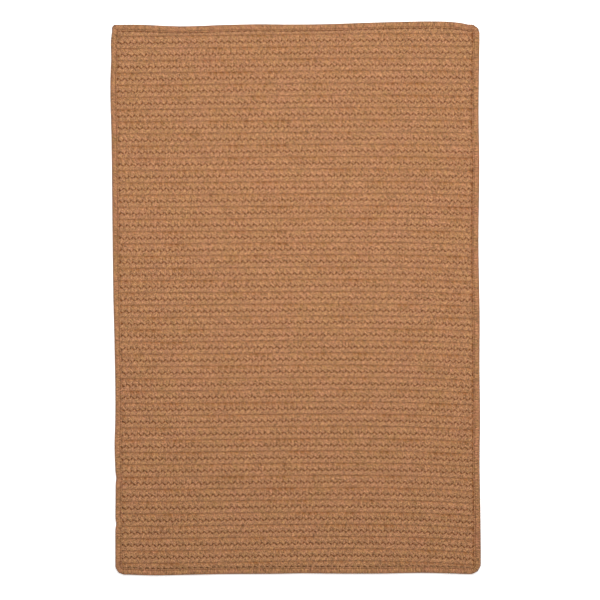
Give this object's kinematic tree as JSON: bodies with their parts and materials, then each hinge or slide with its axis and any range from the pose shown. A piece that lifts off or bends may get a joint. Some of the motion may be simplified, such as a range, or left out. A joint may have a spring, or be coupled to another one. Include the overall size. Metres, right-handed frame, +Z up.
{
  "type": "rectangular braided rug",
  "caption": "Flat rectangular rug of flat plaited wool braids sewn side by side, with a tape folded over the edge and stitched all round.",
  "frame": {"origin": "on the floor, under the middle of the rug's box", "axes": "+Z up out of the floor; +Y along the rug's length, across the braids; +X along the braids, the way the plait's chevrons point"},
  "size_m": [0.6158, 0.9208, 0.0092],
  "materials": {
    "braid_yarn": "matt heathered wool-blend yarn in golden tan with redder and greener flecks, plaited flat",
    "binding_yarn": "matt ribbed wool-blend tape in the same heathered tan, folded over the edge and sewn with matching thread"
  },
  "bodies": {
    "root": {"braid_row_01": "braid_yarn", "braid_row_02": "braid_yarn", "braid_row_03": "braid_yarn", "braid_row_04": "braid_yarn", "braid_row_05": "braid_yarn", "braid_row_06": "braid_yarn", "braid_row_07": "braid_yarn", "braid_row_08": "braid_yarn", "braid_row_09": "braid_yarn", "braid_row_10": "braid_yarn", "braid_row_11": "braid_yarn", "braid_row_12": "braid_yarn", "braid_row_13": "braid_yarn", "braid_row_14": "braid_yarn", "braid_row_15": "braid_yarn", "braid_row_16": "braid_yarn", "braid_row_17": "braid_yarn", "braid_row_18": "braid_yarn", "braid_row_19": "braid_yarn", "braid_row_20": "braid_yarn", "braid_row_21": "braid_yarn", "braid_row_22": "braid_yarn", "braid_row_23": "braid_yarn", "braid_row_24": "braid_yarn", "braid_row_25": "braid_yarn", "braid_row_26": "braid_yarn", "braid_row_27": "braid_yarn", "braid_row_28": "braid_yarn", "braid_row_29": "braid_yarn", "braid_row_30": "braid_yarn", "braid_row_31": "braid_yarn", "braid_row_32": "braid_yarn", "braid_row_33": "braid_yarn", "braid_row_34": "braid_yarn", "braid_row_35": "braid_yarn", "braid_row_36": "braid_yarn", "braid_row_37": "braid_yarn", "braid_row_38": "braid_yarn", "braid_row_39": "braid_yarn", "braid_row_40": "braid_yarn", "braid_row_41": "braid_yarn", "braid_row_42": "braid_yarn", "braid_row_43": "braid_yarn", "braid_row_44": "braid_yarn", "braid_row_45": "braid_yarn", "edge_binding": "binding_yarn"}
  },
  "joints": []
}
